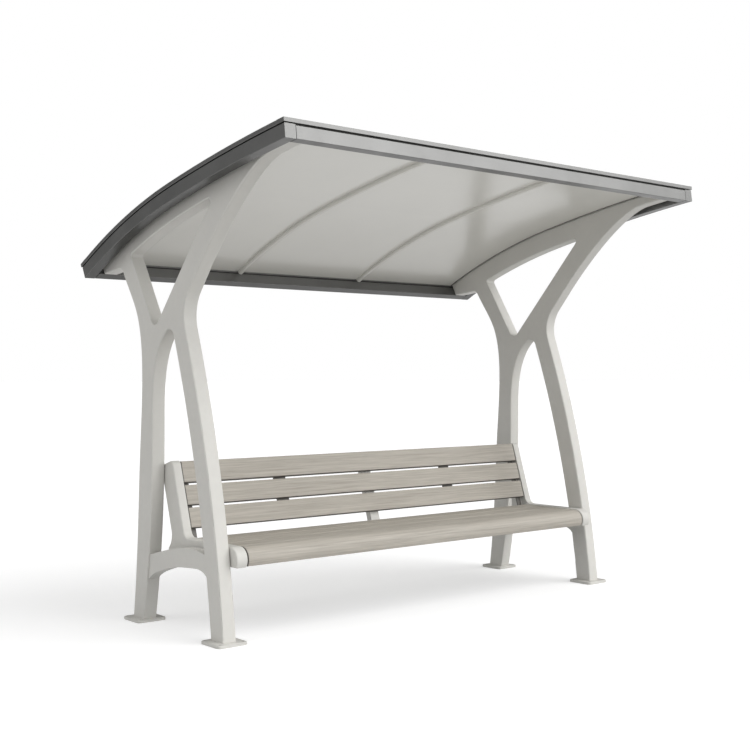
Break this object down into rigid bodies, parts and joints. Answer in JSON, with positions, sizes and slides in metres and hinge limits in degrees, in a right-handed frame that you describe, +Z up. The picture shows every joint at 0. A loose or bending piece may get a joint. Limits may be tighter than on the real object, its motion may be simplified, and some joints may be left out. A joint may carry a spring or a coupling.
{
  "type": "bench shelter",
  "caption": "Open bench shelter: two cast Y-shaped side frames carry a curved roof over a slatted bench with a reclined back.",
  "frame": {"origin": "on the ground, in the middle of the whole shelter's length and depth", "axes": "+X along the bench to its right end as seen from the front, +Y from the seat's front to the back, +Z up"},
  "size_m": [2.886, 1.8785, 2.3489],
  "materials": {
    "frame_paint": "fine textured powder coat, warm light grey",
    "slat_composite": "wood composite with fine brushed grain, greige",
    "bracket_paint": "satin dark grey-brown paint",
    "roof_trim": "satin mid grey powder coat",
    "deck_metal": "matt dark grey",
    "soffit_paint": "satin warm light grey",
    "roof_sheet": "satin mid grey"
  },
  "bodies": {
    "root": {"left_side_frame": "frame_paint", "right_side_frame": "frame_paint", "left_front_foot_plate": "frame_paint", "left_rear_foot_plate": "frame_paint", "right_front_foot_plate": "frame_paint", "right_rear_foot_plate": "frame_paint", "left_bench_end": "frame_paint", "right_bench_end": "frame_paint", "nose_slat": "slat_composite", "front_seat_slat": "slat_composite", "middle_seat_slat": "slat_composite", "rear_seat_slat": "slat_composite", "lower_back_slat": "slat_composite", "middle_back_slat": "slat_composite", "top_back_slat": "slat_composite", "left_back_strap": "bracket_paint", "right_back_strap": "bracket_paint", "left_seat_strap": "bracket_paint", "right_seat_strap": "bracket_paint", "centre_bracket": "frame_paint", "left_roof_beam": "roof_trim", "right_roof_beam": "roof_trim", "front_roof_beam": "roof_trim", "rear_roof_beam": "roof_trim", "roof_deck": "deck_metal", "front_cap": "roof_trim", "rear_cap": "roof_trim", "left_cap": "roof_trim", "right_cap": "roof_trim", "left_soffit_panel": "soffit_paint", "centre_soffit_panel": "soffit_paint", "right_soffit_panel": "soffit_paint", "left_roof_panel": "roof_sheet", "centre_roof_panel": "roof_sheet", "right_roof_panel": "roof_sheet", "left_roof_rib": "soffit_paint", "right_roof_rib": "soffit_paint"}
  },
  "joints": []
}
